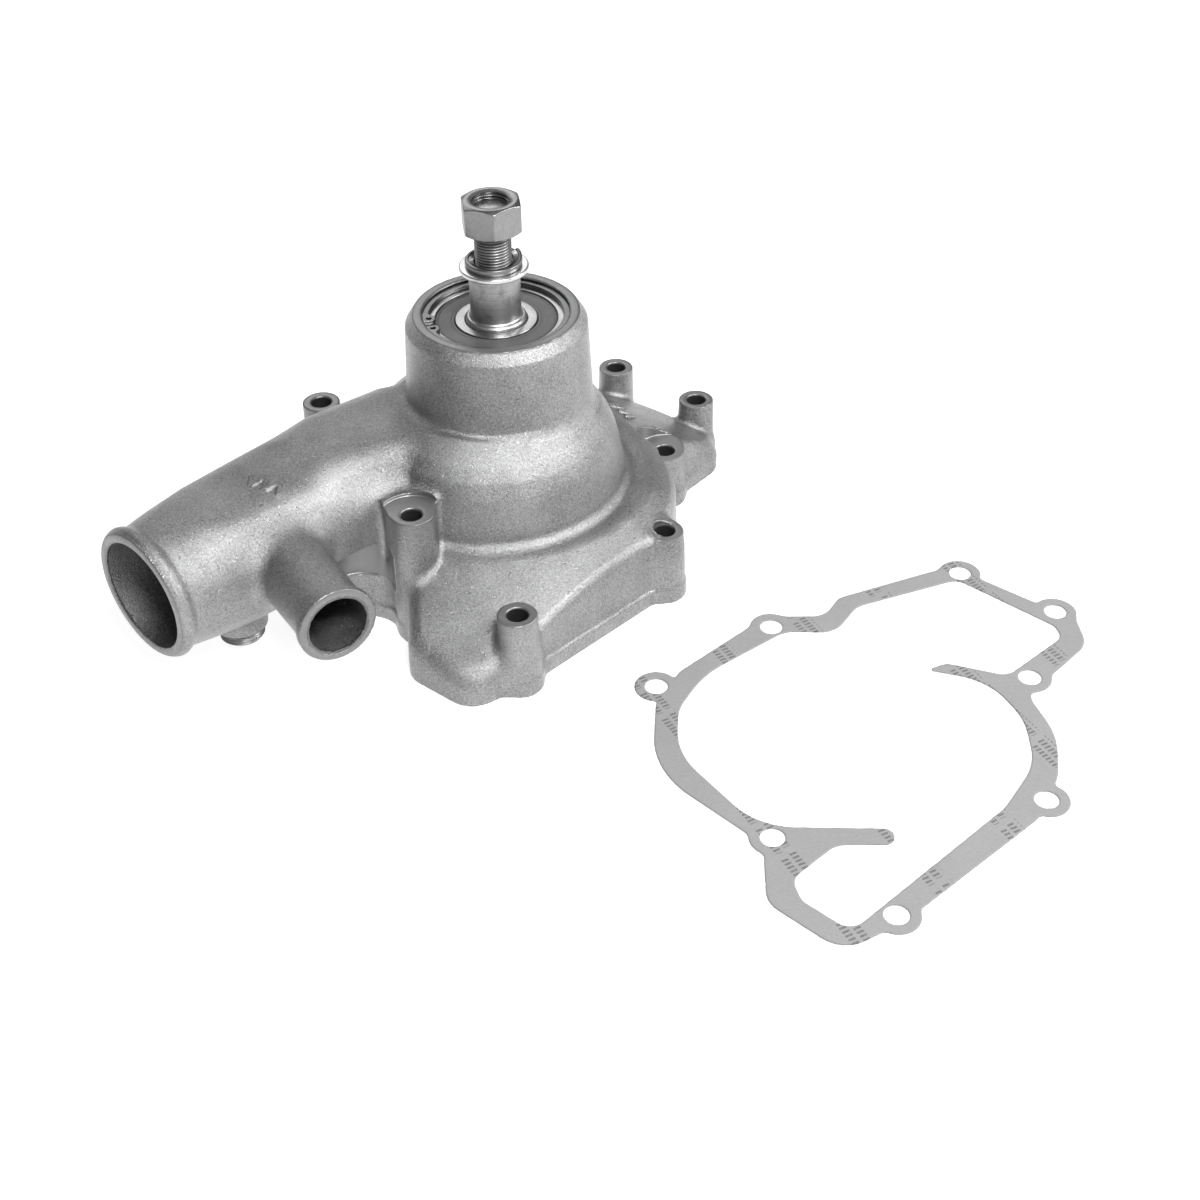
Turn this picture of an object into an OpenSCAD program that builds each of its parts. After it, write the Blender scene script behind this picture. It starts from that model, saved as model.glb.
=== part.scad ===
// Water pump of a heavy diesel tractor, lying on its mounting face with the shaft upright.
// Origin: the shaft axis in the plane of the mounting face. Z runs up along the shaft to the nut.
// Every sub-part is one module and one node. All sizes are millimetres.

/* [Shaft end] */
// Diameter of the pulley seat on the shaft
pulley_seat_d = 25; // [20:0.5:30]
// Height of the upper shoulder that the flat washer rests on
washer_seat_z = 162; // [155:0.5:170]
// Height of the shaft's upper end
shaft_top_z = 194.5; // [185:0.5:200]
// Diameter of the fine thread
thread_d = 18; // [16:1:20]
// Size of the nut across its flats
nut_flats = 27; // [24:1:30]
// Height of the nut
nut_h = 16; // [12:0.5:18]
// Height of the underside of the nut as it is delivered, backed off the washers
nut_z = 182.4; // [170:0.1:185]

/* [Bearing tower] */
// Height of the machined rim of the bearing tower
rim_z = 139.5; // [130:0.5:150]
// Outer radius of the tower at its top
tower_r = 44; // [42:0.5:48]
// Height of the front bearing's upper face
front_bearing_z = 135.5; // [125:0.5:140]
// Outer diameter of the front bearing
front_bearing_d = 72; // [62:1:80]
// Width of the front bearing
front_bearing_w = 19; // [15:1:23]
// Outer diameter of the rear bearing
rear_bearing_d = 62; // [52:1:72]
// Width of the rear bearing
rear_bearing_w = 16; // [12:1:20]

/* [Housing] */
// Height of the shoulder of the inlet chamber
shoulder_z = 86; // [80:1:92]
// Radius of the inlet chamber's outer wall below that shoulder
shoulder_r = 60; // [55:1:65]
// Height of the step between the volute and the inlet chamber
step_z = 47; // [40:1:52]
// Radius of that step
step_r = 76.5; // [70:0.5:82]
// Height of the sloping roof at its lowest, 150 mm from the shaft
eaves_z = 7.4; // [5:0.1:12]
// Height of the flat top of the inlet pipe and its shoulder
flat_top_z = 90.5; // [88:0.1:95]
// Height of the roof of the volute pocket around the impeller
pocket_z = 27; // [20:1:32]
// Upright thickness of the sloping roof over the outlet pockets
roof_t = 6; // [4:0.5:8]
// Diameter of the bolt holes
bolt_hole_d = 10.5; // [9:0.1:12]
// Radius of the bolt bosses at their tops
boss_r = 9.7; // [8:0.1:12]

/* [Pipes] */
// Height of the axis of the inlet pipe
inlet_z = 57; // [50:1:65]
// Inner radius of the inlet pipe
inlet_r = 27.2; // [24:0.1:30]
// Outer radius of the inlet pipe behind its bead
inlet_outer_r = 31.6; // [29:0.1:35]
// Direction the inlet pipe points to, in degrees from the X axis
inlet_turn = 225.7; // [215:0.1:235]
// Height of the axis of the bypass pipe
bypass_z = 58.6; // [50:0.1:65]
// Inner radius of the bypass pipe
bypass_r = 14.2; // [12:0.1:16]
// Outer radius of the bypass pipe
bypass_outer_r = 17.2; // [15:0.1:20]
// Direction the bypass pipe points to
bypass_turn = -58.7; // [-70:0.1:-50]

/* [Impeller] */
// Outer radius of the impeller
impeller_r = 52; // [45:1:55]
// Number of impeller vanes
vane_count = 6; // [5:1:8]

/* [Gasket] */
// Thickness of the paper gasket
gasket_t = 0.8; // [0.5:0.1:1.5]
// Where the loose gasket lies, to the right of the shaft axis
gasket_x = 169.5; // [150:0.5:190]
// Where the loose gasket lies, in front of the shaft axis
gasket_y = -151.5; // [-170:0.5:-130]
// How far the loose gasket is turned
gasket_turn = -3.79; // [-10:0.01:10]

/* [Hidden] */
$fn = 96;
eps = 0.01;
// Bolt holes: place and height of the boss top.
bolts = [
    [60, 121.5, 34.5],
    [105, 91.5, 30.7],
    [-39, 72, 66],
    [-95.2, 23.7, 73.7],
    [85.5, 39.3, 30.9],
    [82.2, -45, 38.2],
    [-40.8, -74.8, 70.8],
    [10.3, -117, 42.4],
];
// Corners of the flange outline, each with the radius that rounds it.
flange_corners = [
    [-95, -35, 70], [-45, -79, 5], [-44, -113, 14], [-13, -138, 15],
    [14, -120, 8], [77, -57, 10], [89.5, -30, 30], [93, -2, 50], [83, 26, 10],
    [96, 41, 6], [117, 66, 16], [114, 90, 6], [98, 97, 5], [70, 117, 5],
    [53, 126, 6], [-4, 97.5, 9], [-12, 82, 12], [-42, 80, 20], [-84, 35.5, 14],
    [-95, 12, 20],
];
// Corners of the opening inside the flange, with its two tongues.
opening_corners = [
    [-84, -23, 60], [-47, -68.5, 34], [12.6, -66.6, 4.4], [12.6, -76.2, 4.4],
    [-13, -77.5, 12], [-33, -99, 9], [-29, -111, 7], [-9, -127, 8],
    [63, -51, 30], [80, -22, 40], [79, 9, 40], [65, 36, 36], [36.5, 42.6, 1.2],
    [46, 48, 9], [75, 40, 9], [105.5, 71, 9], [103, 80, 8], [58, 116, 8],
    [5, 91, 14], [-7, 69.5, 14], [-32, 69, 14], [-72, 34, 60], [-84, 8, 30],
];
// Corners of the flat shoulder between the inlet pipe and the tower, seen from above.
shoulder_corners = [
    [-84, -66, 8], [-60, -52, 16], [-38, -46, 10], [-20, -48, 8], [0, -20, 4], [-20, 20, 8],
    [-60, 9, 16], [-94, -17, 8], [-108, -42, 8],
];
// Corners of the web that ties the tall front bolt boss to the shoulder.
web_corners = [[-60, -55, 2], [-52, -74.5, 4], [-31, -76.5, 3], [-29, -55, 2]];
rear_bearing_z = 84;
front_bearing_bottom = front_bearing_z - front_bearing_w;
rear_bearing_top = rear_bearing_z + rear_bearing_w;
bearing_bore_r = 15;
seal_shaft_r = 10;
impeller_shaft_r = 8;
shaft_bottom_z = 9;
journal_top_z = 137.5;
chamber_floor = 38;
chamber_roof = 79;
inlet_mouth = [-164, -118.5];
bypass_mouth = [-69.6, -143.7];
inlet_reach = 165;
bypass_reach = 88;
plug_reach = 50;
plug_boss_z = 12;
plug_bottom_z = 5;
roof_fall = (step_z - eaves_z) / (150 - step_r);
// The inlet chamber's axis lies a little to the left and in front of the shaft.
chamber_at = [-4.6, -3.9];
weep_turn = 78;
weep_z = 69;
clip_turn = 196;
nut_turn = 38.5;

// Points along one rounded corner b between its neighbours a and c.
function unit(v) = v / norm(v);
function corner(a, b, c) =
    let (u = unit([a[0] - b[0], a[1] - b[1]]),
        w = unit([c[0] - b[0], c[1] - b[1]]),
        half = acos(max(-1, min(1, u * w))) / 2,
        room = min(norm([a[0] - b[0], a[1] - b[1]]), norm([c[0] - b[0], c[1] - b[1]])) / 2,
        t = min(b[2] / tan(half), room * 0.98),
        r = t * tan(half),
        mid = [b[0], b[1]] + unit(u + w) * (r / sin(half)),
        p = [b[0], b[1]] + u * t,
        q = [b[0], b[1]] + w * t,
        g0 = atan2(p[1] - mid[1], p[0] - mid[0]),
        g1 = atan2(q[1] - mid[1], q[0] - mid[0]),
        turn = (g1 - g0 + 540) % 360 - 180,
        n = max(1, ceil(abs(turn) / 9)))
    [for (k = [0:n]) mid + r * [cos(g0 + turn * k / n), sin(g0 + turn * k / n)]];
function rounded(p) =
    let (n = len(p))
    [for (k = [0:n - 1]) each corner(p[(k + n - 1) % n], p[k], p[(k + 1) % n])];

module flange_outline() {
    polygon(rounded(flange_corners));
    for (b = bolts) translate([b[0], b[1]]) circle(r = 10.6);
}

module opening_outline() {
    polygon(rounded(opening_corners));
}

// Places its child with Z running along a pipe, from the pipe's mouth back into the body.
module along_inlet(s) {
    turn = inlet_turn + 180;
    translate([inlet_mouth[0] + s * cos(turn), inlet_mouth[1] + s * sin(turn), inlet_z])
        rotate([0, 90, turn]) children();
}

module along_bypass(s) {
    turn = bypass_turn + 180;
    translate([bypass_mouth[0] + s * cos(turn), bypass_mouth[1] + s * sin(turn), bypass_z])
        rotate([0, 90, turn]) children();
}

// Places its child upright under the inlet pipe, where the plug is.
module at_plug(z) {
    turn = inlet_turn + 180;
    translate([inlet_mouth[0] + plug_reach * cos(turn), inlet_mouth[1] + plug_reach * sin(turn), z])
        children();
}

module ring(r_in, r_out, z0, z1) {
    difference() {
        translate([0, 0, z0]) cylinder(r = r_out, h = z1 - z0);
        translate([0, 0, z0 - 1]) cylinder(r = r_in, h = z1 - z0 + 2);
    }
}

// Outer shape of the casting, before any hole is cut.
module housing_shell() {
    // Volute: the flange outline under a roof that falls away from the shaft.
    intersection() {
        linear_extrude(step_z + 1) flange_outline();
        rotate_extrude() polygon([
            [0, -1], [150, -1], [150, eaves_z], [step_r, step_z], [0, step_z],
        ]);
    }
    // Inlet chamber.
    translate(chamber_at) rotate_extrude() polygon([
        [0, 40], [72, 40], [72, step_z], [69.5, 50], [67.4, 55], [66.4, 60], [63.4, 72],
        [shoulder_r, 80], [56, shoulder_z], [50, shoulder_z + 4], [0, shoulder_z + 4],
    ]);
    // Bearing tower.
    rotate_extrude() polygon([
        [0, 60], [53, 60], [53, 85], [50.5, 89.5], [48.4, 95], [46.5, 102],
        [tower_r + 0.6, rim_z - 7], [41.6, rim_z], [0, rim_z],
    ]);
    for (b = bolts) translate([b[0], b[1], 0]) cylinder(r1 = boss_r + 0.7, r2 = boss_r, h = b[2]);
    // Inlet pipe with its bead, flat along its top where it widens.
    along_inlet(0) cylinder(r = inlet_outer_r, h = 40);
    along_inlet(0) rotate_extrude() polygon([
        [20, 0], [32.6, 0], [34, 2.2], [34, 5.6], [32.6, 7.8], [inlet_outer_r, 9], [20, 9],
    ]);
    intersection() {
        union() {
            along_inlet(8) cylinder(r1 = inlet_outer_r, r2 = 36.4, h = 36);
            along_inlet(44 - eps) cylinder(r1 = 36.4, r2 = 39, h = 86);
            along_inlet(130 - 2 * eps) cylinder(r1 = 39, r2 = 36, h = inlet_reach - 130);
        }
        translate([-220, -220, 0]) cube([300, 300, flat_top_z]);
    }
    along_bypass(0) cylinder(r1 = bypass_outer_r, r2 = bypass_outer_r + 1.6, h = bypass_reach);
    along_bypass(0) cylinder(r = bypass_outer_r + 1.1, h = 4);
    // Boss for the pipe plug under the inlet pipe.
    at_plug(plug_boss_z) cylinder(r = 13.5, h = inlet_z - plug_boss_z - 20);
    // Flat shoulder that carries the inlet pipe up to the tower.
    translate([0, 0, 61]) linear_extrude(flat_top_z - 61.6) polygon(rounded(shoulder_corners));
    // Web between that shoulder and the tall front bolt boss.
    translate([0, 0, 30]) linear_extrude(45) polygon(rounded(web_corners));
    // Filled corner between the two pipes and the volute wall.
    translate([-70, -34, 0]) cylinder(r1 = 26, r2 = 30, h = 72);
}

// Everything hollow in the casting that is not a machined bore.
module housing_cavities() {
    intersection() {
        translate([0, 0, -1]) linear_extrude(pocket_z + 2) opening_outline();
        rotate_extrude() polygon([
            [0, -2], [150, -2], [150, eaves_z - roof_t],
            [150 - (pocket_z + roof_t - eaves_z) / roof_fall, pocket_z], [0, pocket_z],
        ]);
    }
    translate([0, 0, pocket_z - 1]) cylinder(r = 34, h = 30);
    difference() {
        translate([chamber_at[0], chamber_at[1], chamber_floor])
            cylinder(r1 = 61, r2 = 53, h = chamber_roof - chamber_floor);
        translate([0, 0, 50]) cylinder(r = 25, h = 40);
        rotate([0, 0, weep_turn]) translate([15, -7, 58]) cube([55, 14, 30]);
    }
    along_inlet(40) translate([0, 0, -41]) cylinder(r = inlet_r, h = 142);
    along_inlet(97) rotate([0, -2.5, 0]) cylinder(r1 = inlet_r - 0.8, r2 = 19, h = 55);
    along_bypass(-1) cylinder(r = bypass_r, h = bypass_reach + 1);
}

module housing_bores() {
    translate([0, 0, front_bearing_bottom]) cylinder(d = front_bearing_d, h = 40);
    translate([0, 0, rear_bearing_z]) cylinder(d = rear_bearing_d, h = 60);
    translate([0, 0, front_bearing_z]) cylinder(r = 37.6, h = 2.6);
    translate([0, 0, rim_z - 0.7]) cylinder(r1 = 36, r2 = 36.9, h = 0.9);
    translate([0, 0, 80]) cylinder(r = 22, h = 10);
    translate([0, 0, 74]) cylinder(r = 17.5, h = 10);
    translate([0, 0, 61]) cylinder(r = 16, h = 20);
    translate([0, 0, 40]) cylinder(r = 18.5, h = 21);
    rotate([0, 0, weep_turn]) translate([0, 0, weep_z]) rotate([0, 90, 0])
        cylinder(r = 2.5, h = 80);
    for (b = bolts) translate([b[0], b[1], -1]) cylinder(d = bolt_hole_d, h = 100);
    // Threaded hole for the plug.
    at_plug(plug_boss_z - 1) cylinder(r = 9.5, h = 40);
    // Room above the boss faces for the bolt heads.
    translate([bolts[3][0], bolts[3][1], bolts[3][2]]) cylinder(r = 11.5, h = 40);
    translate([bolts[6][0], bolts[6][1], bolts[6][2]]) cylinder(r = 18.6, h = 40);
    translate([bolts[4][0], bolts[4][1], bolts[4][2]]) cylinder(r = 12.5, h = 20);
    // Spot-faced pocket beside the bypass pipe.
    translate([-66, -82, 22]) cylinder(r = 14, h = 24);
}

module pump_housing() {
    color([0.6, 0.61, 0.62]) difference() {
        housing_shell();
        housing_cavities();
        housing_bores();
    }
}

module drive_shaft() {
    color([0.55, 0.55, 0.55]) rotate_extrude() polygon([
        [0, shaft_bottom_z], [7.2, shaft_bottom_z], [impeller_shaft_r, shaft_bottom_z + 0.8],
        [impeller_shaft_r, 39], [seal_shaft_r, 39], [seal_shaft_r, 83.4],
        [bearing_bore_r - 0.5, 83.4], [bearing_bore_r, 83.9], [bearing_bore_r, journal_top_z - 0.6],
        [bearing_bore_r - 0.6, journal_top_z], [pulley_seat_d / 2, journal_top_z],
        [pulley_seat_d / 2, washer_seat_z - 0.5], [pulley_seat_d / 2 - 0.5, washer_seat_z],
        [thread_d / 2, washer_seat_z], [thread_d / 2, shaft_top_z - 1.2],
        [thread_d / 2 - 1.2, shaft_top_z], [0, shaft_top_z],
    ]);
}

// One backward-curved vane, from the hub to the rim.
module vane() {
    intersection() {
        translate([0, 30, 7.5]) difference() {
            cylinder(r = 31.8, h = 18);
            translate([0, 0, -1]) cylinder(r = 28.2, h = 20);
        }
        translate([0, -10, 0]) cube([60, 60, 40]);
        cylinder(r = impeller_r - 1, h = 40);
    }
}

module impeller() {
    color([0.45, 0.42, 0.38]) difference() {
        union() {
            translate([0, 0, 5]) cylinder(r = impeller_r, h = 3);
            translate([0, 0, 5]) cylinder(r1 = 20, r2 = 17, h = 39);
            for (k = [0:vane_count - 1]) rotate([0, 0, k * 360 / vane_count]) vane();
        }
        translate([0, 0, 4]) cylinder(r = impeller_shaft_r + 0.01, h = 50);
        translate([0, 0, 39]) cylinder(r = 15.5, h = 10);
    }
}

module pulley_nut() {
    hex_r = nut_flats / 2 / cos(30);
    color([0.66, 0.66, 0.66]) translate([0, 0, nut_z]) difference() {
        intersection() {
            rotate([0, 0, nut_turn]) cylinder(r = hex_r, h = nut_h, $fn = 6);
            rotate_extrude() polygon([
                [0, 0], [nut_flats / 2 - 0.6, 0], [hex_r + 0.2, 1.6], [hex_r + 0.2, nut_h - 1.6],
                [nut_flats / 2 - 0.6, nut_h], [0, nut_h],
            ]);
        }
        translate([0, 0, -1]) cylinder(r = thread_d / 2 + 0.05, h = nut_h + 2);
        translate([0, 0, nut_h - 1]) cylinder(r1 = thread_d / 2, r2 = thread_d / 2 + 1.3, h = 1.2);
    }
}

module flat_washer() {
    color([0.75, 0.75, 0.75]) ring(thread_d / 2 + 0.25, 17, washer_seat_z + 0.05, washer_seat_z + 2.6);
}

module spring_lock_washer() {
    color([0.4, 0.4, 0.4]) difference() {
        ring(thread_d / 2 + 0.2, 13.9, washer_seat_z + 2.65, washer_seat_z + 6.4);
        rotate([0, 0, 32]) translate([5, -0.9, washer_seat_z]) cube([12, 1.8, 9]);
    }
}

module bearing_retaining_ring() {
    z0 = front_bearing_z + 0.05;
    color([0.35, 0.35, 0.35]) difference() {
        union() {
            ring(33.4, 37.45, z0, z0 + 2.4);
            for (side = [-1, 1]) rotate([0, 0, clip_turn + side * 9]) translate([32.2, 0, z0])
                cylinder(r = 3, h = 2.4);
        }
        rotate([0, 0, clip_turn]) translate([20, -2, z0 - 1]) cube([30, 4, 5]);
        for (side = [-1, 1]) rotate([0, 0, clip_turn + side * 9]) translate([32, 0, z0 - 1])
            cylinder(r = 1.25, h = 5);
    }
}

module race(r_in, r_out, z0, width, pitch_r, groove_r) {
    difference() {
        ring(r_in, r_out, z0, z0 + width);
        translate([0, 0, z0 + width / 2]) rotate_extrude() translate([pitch_r, 0]) circle(r = groove_r);
    }
}

module balls(count, pitch_r, ball_r, z) {
    for (k = [0:count - 1]) rotate([0, 0, k * 360 / count]) translate([pitch_r, 0, z])
        sphere(r = ball_r);
}

module cage(count, pitch_r, pocket_r, z, half_h) {
    difference() {
        ring(pitch_r - 1.1, pitch_r + 1.1, z - half_h, z + half_h);
        for (k = [0:count - 1]) rotate([0, 0, k * 360 / count]) translate([0, 0, z])
            rotate([0, 90, 0]) cylinder(r = pocket_r, h = pitch_r + 6);
    }
}

front_mid_z = front_bearing_z - front_bearing_w / 2;
rear_mid_z = rear_bearing_z + rear_bearing_w / 2;

module front_bearing_outer_ring() {
    color([0.6, 0.6, 0.6])
        race(30.3, front_bearing_d / 2 - 0.03, front_bearing_bottom, front_bearing_w, 25.5, 6.35);
}

module front_bearing_inner_ring() {
    color([0.8, 0.8, 0.8])
        race(bearing_bore_r + 0.02, 20.2, front_bearing_bottom, front_bearing_w, 25.5, 6.35);
}

module front_bearing_balls() {
    color([0.85, 0.85, 0.85]) balls(8, 25.5, 6.15, front_mid_z);
}

module front_bearing_cage() {
    color([0.7, 0.6, 0.4]) cage(8, 25.5, 6.4, front_mid_z, 7.4);
}

module front_bearing_upper_seal() {
    color([0.13, 0.13, 0.13]) ring(20.45, 30.25, front_bearing_z - 1.9, front_bearing_z - 0.7);
}

module front_bearing_lower_shield() {
    color([0.5, 0.5, 0.5]) ring(20.45, 30.25, front_bearing_bottom + 0.6, front_bearing_bottom + 1.4);
}

module bearing_spacer_tube() {
    color([0.6, 0.6, 0.6])
        ring(bearing_bore_r + 0.05, 18, rear_bearing_top + 0.05, front_bearing_bottom - 0.05);
}

module rear_bearing_outer_ring() {
    color([0.6, 0.6, 0.6])
        race(26.8, rear_bearing_d / 2 - 0.03, rear_bearing_z, rear_bearing_w, 23, 4.96);
}

module rear_bearing_inner_ring() {
    color([0.8, 0.8, 0.8])
        race(bearing_bore_r + 0.02, 19.2, rear_bearing_z, rear_bearing_w, 23, 4.96);
}

module rear_bearing_balls() {
    color([0.85, 0.85, 0.85]) balls(9, 23, 4.76, rear_mid_z);
}

module rear_bearing_cage() {
    color([0.7, 0.6, 0.4]) cage(9, 23, 4.98, rear_mid_z, 5.9);
}

module grease_lip_seal() {
    color([0.15, 0.15, 0.15]) difference() {
        ring(seal_shaft_r + 0.08, 17.45, 74.3, 80);
        translate([0, 0, 75.4]) difference() {
            cylinder(r = 16, h = 6);
            translate([0, 0, -1]) cylinder(r = 11.6, h = 8);
        }
    }
}

module slinger_disc() {
    color([0.5, 0.5, 0.5]) {
        ring(seal_shaft_r + 0.02, 12, 65.5, 69.5);
        ring(seal_shaft_r + 0.02, 14.5, 67, 68.2);
    }
}

module seal_cartridge_cup() {
    color([0.72, 0.6, 0.35]) difference() {
        union() {
            translate([0, 0, 49.2]) cylinder(r = 18.46, h = 11.7);
            translate([0, 0, 49.1]) cylinder(r = 20.5, h = 0.8);
        }
        translate([0, 0, 48]) cylinder(r = 17.5, h = 12);
        translate([0, 0, 48]) cylinder(r = 11.5, h = 20);
    }
}

module seal_spring() {
    color([0.7, 0.7, 0.7]) for (k = [0:3]) {
        translate([0, 0, 51.4 + 2.5 * k]) rotate_extrude() translate([15.9, 0]) circle(r = 0.9);
        if (k < 3) for (side = [0, 180]) rotate([0, 0, side + 90 * k])
            translate([15.9, 0, 51.4 + 2.5 * k]) cylinder(r = 0.8, h = 2.5);
    }
}

module seal_bellows() {
    color([0.1, 0.1, 0.1]) rotate_extrude() polygon([
        [11.2, 49.05], [14.3, 49.05], [14.3, 51], [13, 52.5], [14.3, 54], [13, 55.5], [14.3, 57],
        [14.3, 59.9], [12, 59.9], [12, 57], [11.4, 55.5], [12.2, 54], [11.4, 52.5], [11.2, 51],
    ]);
}

module seal_carbon_ring() {
    color([0.2, 0.2, 0.22]) {
        ring(11, 13, 46.05, 47.4);
        ring(11, 14.3, 47.3, 49);
    }
}

module seal_mating_ring() {
    color([0.9, 0.9, 0.88]) ring(11, 14.85, 41.05, 46);
}

module mating_ring_rubber_cup() {
    color([0.1, 0.1, 0.1]) {
        ring(seal_shaft_r + 0.03, 15.4, 39.05, 41);
        ring(14.9, 15.4, 40.9, 44);
    }
}

module pipe_plug() {
    color([0.55, 0.55, 0.55]) difference() {
        union() {
            at_plug(plug_boss_z - 0.05) cylinder(r = 9.42, h = 15);
            at_plug(plug_bottom_z + 0.8) cylinder(r = 11.3, h = plug_boss_z - plug_bottom_z - 0.85);
            at_plug(plug_bottom_z) cylinder(r1 = 10.5, r2 = 11.3, h = 0.81);
        }
        at_plug(plug_bottom_z - 1) cylinder(r = 5, h = 9, $fn = 6);
    }
}

module mounting_gasket() {
    color([0.62, 0.62, 0.62]) translate([gasket_x, gasket_y, 0]) rotate([0, 0, gasket_turn])
        linear_extrude(gasket_t) difference() {
            flange_outline();
            opening_outline();
            for (b = bolts) translate([b[0], b[1]]) circle(d = 11.2);
        }
}

pump_housing();
drive_shaft();
impeller();
pulley_nut();
spring_lock_washer();
flat_washer();
bearing_retaining_ring();
front_bearing_outer_ring();
front_bearing_inner_ring();
front_bearing_balls();
front_bearing_cage();
front_bearing_upper_seal();
front_bearing_lower_shield();
bearing_spacer_tube();
rear_bearing_outer_ring();
rear_bearing_inner_ring();
rear_bearing_balls();
rear_bearing_cage();
grease_lip_seal();
slinger_disc();
seal_cartridge_cup();
seal_spring();
seal_bellows();
seal_carbon_ring();
seal_mating_ring();
mating_ring_rubber_cup();
pipe_plug();
mounting_gasket();
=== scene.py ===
"""Looks of the water pump: a sand-cast housing grown from a distance field, turned and threaded steel
parts, rubber, gasket paper, the studio floor, the lights and the camera."""
import math

import bpy
import numpy as np
import openvdb
from mathutils import Matrix, Vector


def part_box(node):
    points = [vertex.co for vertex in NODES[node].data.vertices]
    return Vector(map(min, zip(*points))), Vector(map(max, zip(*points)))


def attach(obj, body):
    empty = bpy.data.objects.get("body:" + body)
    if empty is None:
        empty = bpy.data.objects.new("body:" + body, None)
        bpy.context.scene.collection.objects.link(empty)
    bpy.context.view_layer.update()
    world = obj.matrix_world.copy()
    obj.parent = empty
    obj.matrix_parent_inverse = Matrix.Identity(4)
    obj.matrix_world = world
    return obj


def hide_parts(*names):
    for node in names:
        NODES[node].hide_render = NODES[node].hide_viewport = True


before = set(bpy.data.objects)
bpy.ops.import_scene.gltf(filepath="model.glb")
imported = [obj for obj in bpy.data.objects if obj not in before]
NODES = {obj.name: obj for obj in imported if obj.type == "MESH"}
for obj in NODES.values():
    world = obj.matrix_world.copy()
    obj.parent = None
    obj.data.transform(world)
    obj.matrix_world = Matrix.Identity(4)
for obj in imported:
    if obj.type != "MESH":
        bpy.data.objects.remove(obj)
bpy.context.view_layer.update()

MM = 0.001

# ---------------------------------------------------------------- sizes in millimetres
BOLTS = [
    (60, 121.5, 34.5),
    (105, 91.5, 30.7),
    (-39, 72, 66),
    (-95.2, 23.7, 73.7),
    (85.5, 39.3, 30.9),
    (82.2, -45, 38.2),
    (-40.8, -74.8, 70.8),
    (10.3, -117, 42.4),
]
FLANGE = [
    (-95, -35, 70), (-45, -79, 5), (-44, -113, 14), (-13, -138, 15), (14, -120, 8),
    (77, -57, 10), (89.5, -30, 30), (93, -2, 50), (83, 26, 10), (96, 41, 6), (117, 66, 16),
    (114, 90, 6), (98, 97, 5), (70, 117, 5), (53, 126, 6), (-4, 97.5, 9), (-12, 82, 12),
    (-42, 80, 20), (-84, 35.5, 14), (-95, 12, 20),
]
OPENING = [
    (-84, -23, 60), (-47, -68.5, 34), (12.6, -66.6, 4.4), (12.6, -76.2, 4.4), (-13, -77.5, 12),
    (-33, -99, 9), (-29, -111, 7), (-9, -127, 8), (63, -51, 30), (80, -22, 40), (79, 9, 40),
    (65, 36, 36), (36.5, 42.6, 1.2), (46, 48, 9), (75, 40, 9), (105.5, 71, 9), (103, 80, 8),
    (58, 116, 8), (5, 91, 14), (-7, 69.5, 14), (-32, 69, 14), (-72, 34, 60), (-84, 8, 30),
]
SHOULDER = [
    (-86, -68, 8), (-60, -50, 20), (-37, -41, 14), (-20, -46, 8), (0, -20, 4), (-20, 20, 8),
    (-60, 10, 20), (-97, -16, 10), (-111, -42, 8),
]
FLAT_TOP_Z = 90.6
WEB = [(-61, -55, 2), (-51.5, -76, 3), (-31, -78.5, 3), (-29, -55, 2)]
LUG_R = 10.6
BOSS_R = 9.7
BOLT_HOLE_R = 5.25
ROOF_FALL = 0.5388
CHAMBER_AT = (-4.6, -3.9)
GASKET_AT = (169.5, -151.5)
GASKET_TURN = math.radians(-3.79)
GASKET_T = 0.8

RIM_Z = 139.5
STEP_R = 76.5
STEP_Z = 47.0
INLET_MOUTH = np.array([-164.0, -118.5, 57.0])
INLET_TURN = math.radians(225.7)
INLET_R = 27.2
BYPASS_MOUTH = np.array([-69.6, -143.7, 58.6])
BYPASS_TURN = math.radians(-58.7)
BYPASS_R = 14.2
BYPASS_OUTER_R = 17.2
PLUG_REACH = 50.0
PLUG_BOSS_Z = 12.0
PLUG_BOTTOM_Z = 5.0
PLUG_THREAD_R = 11.3
PLUG_THREAD_DEPTH = 1.0
PLUG_PITCH = 1.8
PLUG_THREAD_TOP = 14.0
POCKET_Z = 27.0
# How strongly the hollows are darkened with painted shade and roughened: bypass, inlet, bolt holes.
BYPASS_SHADE_AND_ROUGHNESS = 2.2
INLET_SHADE_AND_ROUGHNESS = 0.4
HOLE_SHADE_AND_ROUGHNESS = 3.4


# ---------------------------------------------------------------- outlines
def rounded(corners, step=math.radians(6)):
    """A closed outline whose corners (x, y, radius) are rounded by arcs."""
    out = []
    count = len(corners)
    for k in range(count):
        a = np.array(corners[k - 1][:2], float)
        b = np.array(corners[k][:2], float)
        c = np.array(corners[(k + 1) % count][:2], float)
        radius = corners[k][2]
        la = np.linalg.norm(a - b)
        lc = np.linalg.norm(c - b)
        u = (a - b) / la
        w = (c - b) / lc
        half = math.acos(float(np.clip(u @ w, -1, 1))) / 2
        t = min(radius / math.tan(half), min(la, lc) / 2 * 0.98)
        r = t * math.tan(half)
        axis = (u + w) / np.linalg.norm(u + w)
        mid = b + axis * r / math.sin(half)
        p = b + u * t - mid
        q = b + w * t - mid
        g0 = math.atan2(p[1], p[0])
        turn = (math.atan2(q[1], q[0]) - g0 + math.pi) % (2 * math.pi) - math.pi
        n = max(1, math.ceil(abs(turn) / step))
        for i in range(n + 1):
            g = g0 + turn * i / n
            out.append(mid + r * np.array([math.cos(g), math.sin(g)]))
    return np.array(out)


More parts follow.
